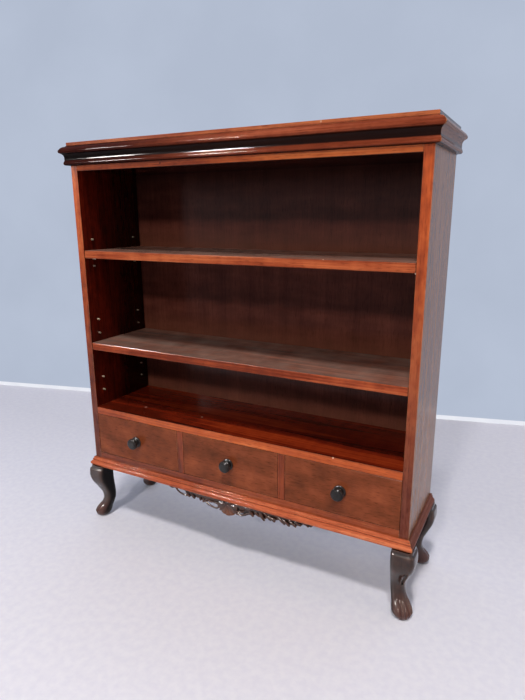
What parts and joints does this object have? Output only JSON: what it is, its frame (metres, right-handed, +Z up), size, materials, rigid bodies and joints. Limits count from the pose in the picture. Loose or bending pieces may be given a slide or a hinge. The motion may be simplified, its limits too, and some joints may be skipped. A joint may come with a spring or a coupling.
{
  "type": "bookcase",
  "caption": "Open mahogany bookcase on cabriole legs, with loose shelves above a row of drawers, a moulded cornice and a carved apron.",
  "frame": {"origin": "on the floor, at the centre of the whole piece's footprint", "axes": "+X to the right as seen from the front, +Y from the front to the back, +Z up"},
  "size_m": [1.1142, 0.322, 1.237],
  "materials": {
    "polished_mahogany": "french polished, glossy",
    "polished_panel": "veneered panel, french polished",
    "dark_stained_mahogany": "dark stained and polished",
    "ebonised_wood": "turned, ebonised and polished",
    "plain_drawer_wood": "planed, unpolished",
    "brass": "turned, tarnished"
  },
  "bodies": {
    "carcase": {"side_panel_left": "polished_mahogany", "side_panel_right": "polished_mahogany", "top_board": "polished_mahogany", "middle_board": "polished_mahogany", "bottom_board": "polished_mahogany", "drawer_divider_left": "polished_mahogany", "drawer_divider_right": "polished_mahogany", "frieze_rail": "polished_mahogany", "back_panel": "polished_panel", "cap_board": "polished_mahogany", "cornice_front": "polished_mahogany", "cornice_left": "polished_mahogany", "cornice_right": "polished_mahogany", "base_moulding_front": "polished_mahogany", "base_moulding_left": "polished_mahogany", "base_moulding_right": "polished_mahogany", "base_rail_front": "polished_mahogany", "base_rail_back": "polished_mahogany", "base_rail_left": "polished_mahogany", "base_rail_right": "polished_mahogany", "leg_front_left": "dark_stained_mahogany", "leg_front_right": "dark_stained_mahogany", "leg_back_left": "dark_stained_mahogany", "leg_back_right": "dark_stained_mahogany", "carved_apron": "dark_stained_mahogany", "shelf_peg_lower_front_left": "brass", "shelf_peg_lower_front_right": "brass", "shelf_peg_lower_back_left": "brass", "shelf_peg_lower_back_right": "brass", "shelf_peg_upper_front_left": "brass", "shelf_peg_upper_front_right": "brass", "shelf_peg_upper_back_left": "brass", "shelf_peg_upper_back_right": "brass", "drawer_left_stop": "plain_drawer_wood", "drawer_middle_stop": "plain_drawer_wood", "drawer_right_stop": "plain_drawer_wood"},
    "lower_shelf": {"shelf_lower": "polished_mahogany"},
    "upper_shelf": {"shelf_upper": "polished_mahogany"},
    "left_drawer": {"drawer_left_front": "polished_mahogany", "drawer_left_left_side": "plain_drawer_wood", "drawer_left_right_side": "plain_drawer_wood", "drawer_left_back": "plain_drawer_wood", "drawer_left_bottom": "plain_drawer_wood", "drawer_left_knob": "ebonised_wood"},
    "middle_drawer": {"drawer_middle_front": "polished_mahogany", "drawer_middle_left_side": "plain_drawer_wood", "drawer_middle_right_side": "plain_drawer_wood", "drawer_middle_back": "plain_drawer_wood", "drawer_middle_bottom": "plain_drawer_wood", "drawer_middle_knob": "ebonised_wood"},
    "right_drawer": {"drawer_right_front": "polished_mahogany", "drawer_right_left_side": "plain_drawer_wood", "drawer_right_right_side": "plain_drawer_wood", "drawer_right_back": "plain_drawer_wood", "drawer_right_bottom": "plain_drawer_wood", "drawer_right_knob": "ebonised_wood"}
  },
  "joints": [
    {"name": "left_drawer_slide", "type": "slide", "parent": "carcase", "child": "left_drawer", "axis": [0, -1, 0], "range_m": [0, 0.19]},
    {"name": "middle_drawer_slide", "type": "slide", "parent": "carcase", "child": "middle_drawer", "axis": [0, -1, 0], "range_m": [0, 0.19]},
    {"name": "right_drawer_slide", "type": "slide", "parent": "carcase", "child": "right_drawer", "axis": [0, -1, 0], "range_m": [0, 0.19]},
    {"name": "lower_shelf_slide", "type": "slide", "parent": "carcase", "child": "lower_shelf", "axis": [0, -1, 0], "range_m": [0, 0.09]},
    {"name": "upper_shelf_slide", "type": "slide", "parent": "carcase", "child": "upper_shelf", "axis": [0, -1, 0], "range_m": [0, 0.09]}
  ]
}
